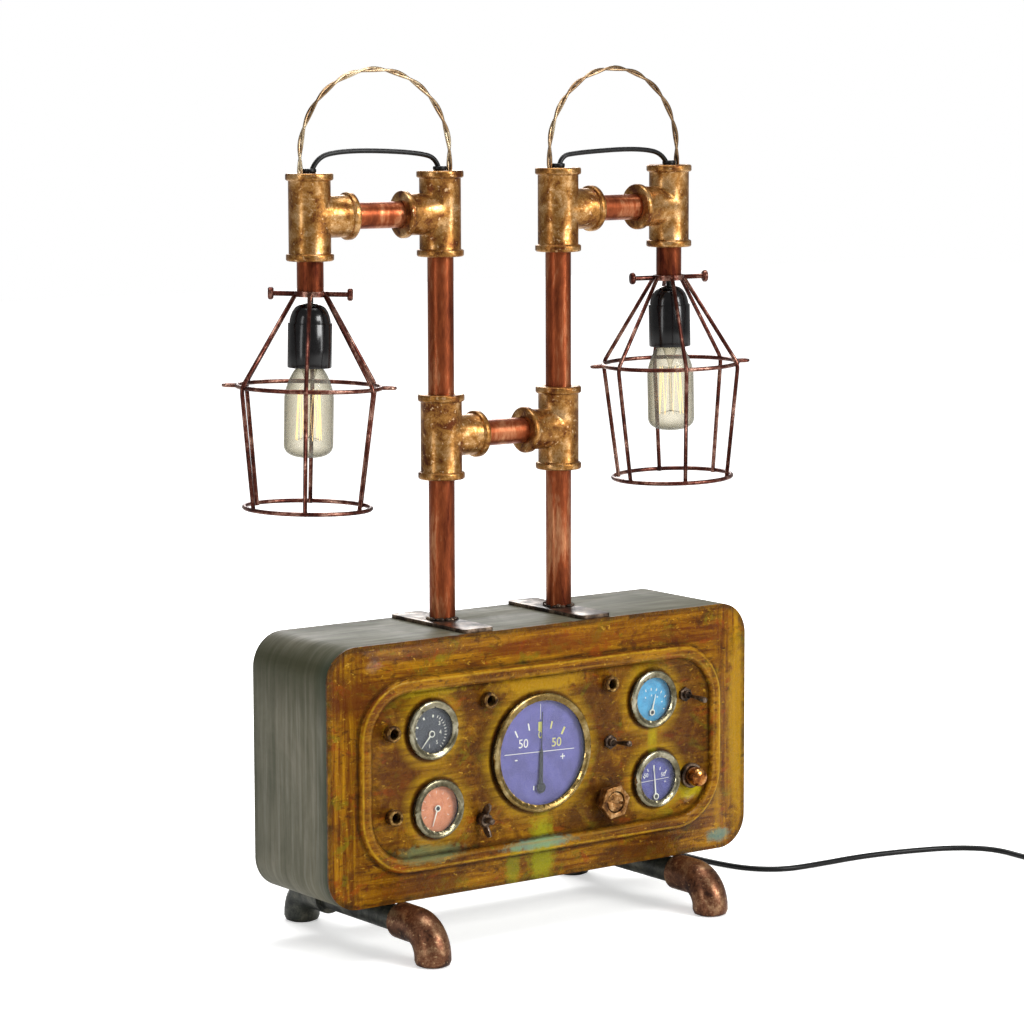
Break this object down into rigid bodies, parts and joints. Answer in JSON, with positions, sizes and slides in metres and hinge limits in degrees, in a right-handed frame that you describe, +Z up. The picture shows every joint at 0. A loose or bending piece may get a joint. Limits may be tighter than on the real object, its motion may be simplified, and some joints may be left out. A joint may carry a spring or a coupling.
{
  "type": "table lamp",
  "caption": "Caged bulbs on swinging pipe arms above an instrument case with gauges, toggle switches and pipe-elbow feet.",
  "frame": {"origin": "on the table, under the middle of the lamp's footprint, which is the middle of the case's width and depth", "axes": "+X to the right along the case seen from its front, +Y from the front panel to the back cover, +Z up"},
  "size_m": [0.9127, 0.4276, 0.7966],
  "materials": {
    "grey_green_paint": "brushed satin",
    "rust_paint": "brushed, streaked",
    "bare_steel": "satin",
    "dark_copper_pipe": "aged satin",
    "golden_brass": "brushed",
    "bezel_brass": "satin",
    "black_housing": "matte",
    "clear_lens": "gloss",
    "violet_paint": "matte",
    "black_paint": "matte",
    "salmon_paint": "matte",
    "blue_paint": "matte",
    "needle_black": "matte",
    "needle_pale": "matte",
    "twisted_brass": "aged",
    "black_rubber": "satin",
    "black_holder": "gloss",
    "steel_stem": "satin",
    "copper_wire": "aged",
    "bulb_cap_brass": "satin",
    "button_dark": "satin"
  },
  "bodies": {
    "lamp_body": {"case_shell": "grey_green_paint", "front_panel": "rust_paint", "back_cover": "grey_green_paint", "back_cover_screws": "bare_steel", "top_straps": "bare_steel", "frame_pipes": "dark_copper_pipe", "mid_tees": "golden_brass", "foot_elbows": "golden_brass", "foot_pipes": "dark_copper_pipe", "large_gauge_housing": "black_housing", "large_gauge_bezel": "bezel_brass", "large_gauge_lens": "clear_lens", "large_dial": "violet_paint", "small_gauge_housings": "black_housing", "small_gauge_bezels": "bezel_brass", "small_gauge_lenses": "clear_lens", "black_dial": "black_paint", "salmon_dial": "salmon_paint", "blue_dial": "blue_paint", "violet_dial": "violet_paint", "panel_bushes": "golden_brass", "switch_bodies": "bare_steel", "selector_nut": "golden_brass", "terminal_block": "black_housing", "cord_gland": "black_rubber", "mains_cord": "black_rubber", "mains_coil": "black_rubber", "mains_plug": "black_rubber"},
    "left_arm": {"left_arm_tees": "golden_brass", "left_arm_pipes": "dark_copper_pipe", "left_hoop": "twisted_brass", "left_jumper_lead": "black_rubber", "left_lamp_stem": "steel_stem", "left_lamp_holder": "black_holder"},
    "left_cage": {"left_cage": "copper_wire"},
    "left_bulb": {"left_bulb_glass": "clear_lens", "left_bulb_cap": "bulb_cap_brass"},
    "left_near_clamp": {"left_cage_near_screw": "steel_stem"},
    "left_far_clamp": {"left_cage_far_screw": "steel_stem"},
    "right_arm": {"right_arm_tees": "golden_brass", "right_arm_pipes": "dark_copper_pipe", "right_hoop": "twisted_brass", "right_jumper_lead": "black_rubber", "right_lamp_stem": "steel_stem", "right_lamp_holder": "black_holder"},
    "right_cage": {"right_cage": "copper_wire"},
    "right_bulb": {"right_bulb_glass": "clear_lens", "right_bulb_cap": "bulb_cap_brass"},
    "right_near_clamp": {"right_cage_near_screw": "steel_stem"},
    "right_far_clamp": {"right_cage_far_screw": "steel_stem"},
    "large_pointer": {"large_needle": "needle_black"},
    "black_pointer": {"black_needle": "needle_pale"},
    "salmon_pointer": {"salmon_needle": "needle_black"},
    "blue_pointer": {"blue_needle": "needle_black"},
    "violet_pointer": {"violet_needle": "needle_black"},
    "upper_toggle": {"upper_toggle_lever": "bare_steel"},
    "lower_toggle": {"lower_toggle_lever": "bare_steel"},
    "button": {"push_button": "button_dark"},
    "selector": {"selector_core": "golden_brass"},
    "wing_nut_body": {"wing_nut": "bare_steel"}
  },
  "joints": [
    {"name": "left_arm_swing", "type": "hinge", "parent": "lamp_body", "child": "left_arm", "pos_m": [-0.06725, 0.007, 0.6334], "axis": [0, 0, 1], "range_deg": [-75, 75]},
    {"name": "left_cage_turn", "type": "hinge", "parent": "left_arm", "child": "left_cage", "pos_m": [-0.20114, 0.01871, 0.5935], "axis": [0.0261, -0.0023, 0.9997], "continuous": true},
    {"name": "left_bulb_screw", "type": "hinge", "parent": "left_arm", "child": "left_bulb", "pos_m": [-0.20231, 0.01882, 0.54851], "axis": [0.0261, -0.0023, 0.9997], "range_deg": [0, 900]},
    {"name": "left_near_clamp_screw", "type": "hinge", "parent": "left_cage", "child": "left_near_clamp", "pos_m": [-0.17669, 0.00129, 0.59432], "axis": [0.8138, -0.5807, -0.0226], "range_deg": [0, 1080]},
    {"name": "left_far_clamp_screw", "type": "hinge", "parent": "left_cage", "child": "left_far_clamp", "pos_m": [-0.22551, 0.03613, 0.59568], "axis": [-0.8138, 0.5807, 0.0226], "range_deg": [0, 1080]},
    {"name": "right_arm_swing", "type": "hinge", "parent": "lamp_body", "child": "right_arm", "pos_m": [0.06725, 0.007, 0.6334], "axis": [0, 0, 1], "range_deg": [-75, 75]},
    {"name": "right_cage_turn", "type": "hinge", "parent": "right_arm", "child": "right_cage", "pos_m": [0.20163, 0.00935, 0.5935], "axis": [-0.0262, -0.0005, 0.9997], "continuous": true},
    {"name": "right_bulb_screw", "type": "hinge", "parent": "right_arm", "child": "right_bulb", "pos_m": [0.20281, 0.00937, 0.54851], "axis": [-0.0262, -0.0005, 0.9997], "range_deg": [0, 900]},
    {"name": "right_near_clamp_screw", "type": "hinge", "parent": "right_cage", "child": "right_near_clamp", "pos_m": [0.17454, 0.02231, 0.5943], "axis": [-0.9015, 0.4321, -0.0234], "range_deg": [0, 1080]},
    {"name": "right_far_clamp_screw", "type": "hinge", "parent": "right_cage", "child": "right_far_clamp", "pos_m": [0.22864, -0.00362, 0.5957], "axis": [0.9015, -0.4321, 0.0234], "range_deg": [0, 1080]},
    {"name": "large_pointer_turn", "type": "hinge", "parent": "lamp_body", "child": "large_pointer", "pos_m": [-0.006, -0.057, 0.135], "axis": [0, 1, 0], "range_deg": [-32, 28]},
    {"name": "black_pointer_turn", "type": "hinge", "parent": "lamp_body", "child": "black_pointer", "pos_m": [-0.1285, -0.057, 0.1995], "axis": [0, 1, 0], "range_deg": [0, 265]},
    {"name": "salmon_pointer_turn", "type": "hinge", "parent": "lamp_body", "child": "salmon_pointer", "pos_m": [-0.1225, -0.057, 0.1305], "axis": [0, 1, 0], "range_deg": [0, 300]},
    {"name": "blue_pointer_turn", "type": "hinge", "parent": "lamp_body", "child": "blue_pointer", "pos_m": [0.125, -0.057, 0.191], "axis": [0, 1, 0], "range_deg": [-62, 32]},
    {"name": "violet_pointer_turn", "type": "hinge", "parent": "lamp_body", "child": "violet_pointer", "pos_m": [0.13, -0.057, 0.1097], "axis": [0, 1, 0], "range_deg": [-40, 49]},
    {"name": "upper_toggle_tip", "type": "hinge", "parent": "lamp_body", "child": "upper_toggle", "pos_m": [0.165, -0.0649, 0.204], "axis": [1, 0, 0], "range_deg": [-18, 0]},
    {"name": "lower_toggle_tip", "type": "hinge", "parent": "lamp_body", "child": "lower_toggle", "pos_m": [0.075, -0.0649, 0.1685], "axis": [1, 0, 0], "range_deg": [0, 18]},
    {"name": "button_press", "type": "slide", "parent": "lamp_body", "child": "button", "axis": [0, 1, 0], "range_m": [0, 0.005], "stiffness_N_per_m": 300, "springref_m": -0.002},
    {"name": "selector_turn", "type": "hinge", "parent": "lamp_body", "child": "selector", "pos_m": [0.0725, -0.067, 0.1135], "axis": [0, 1, 0], "range_deg": [0, 90]},
    {"name": "wing_nut_turn", "type": "hinge", "parent": "lamp_body", "child": "wing_nut_body", "pos_m": [-0.073, -0.067, 0.1145], "axis": [0, 1, 0], "range_deg": [-1080, 0]}
  ]
}
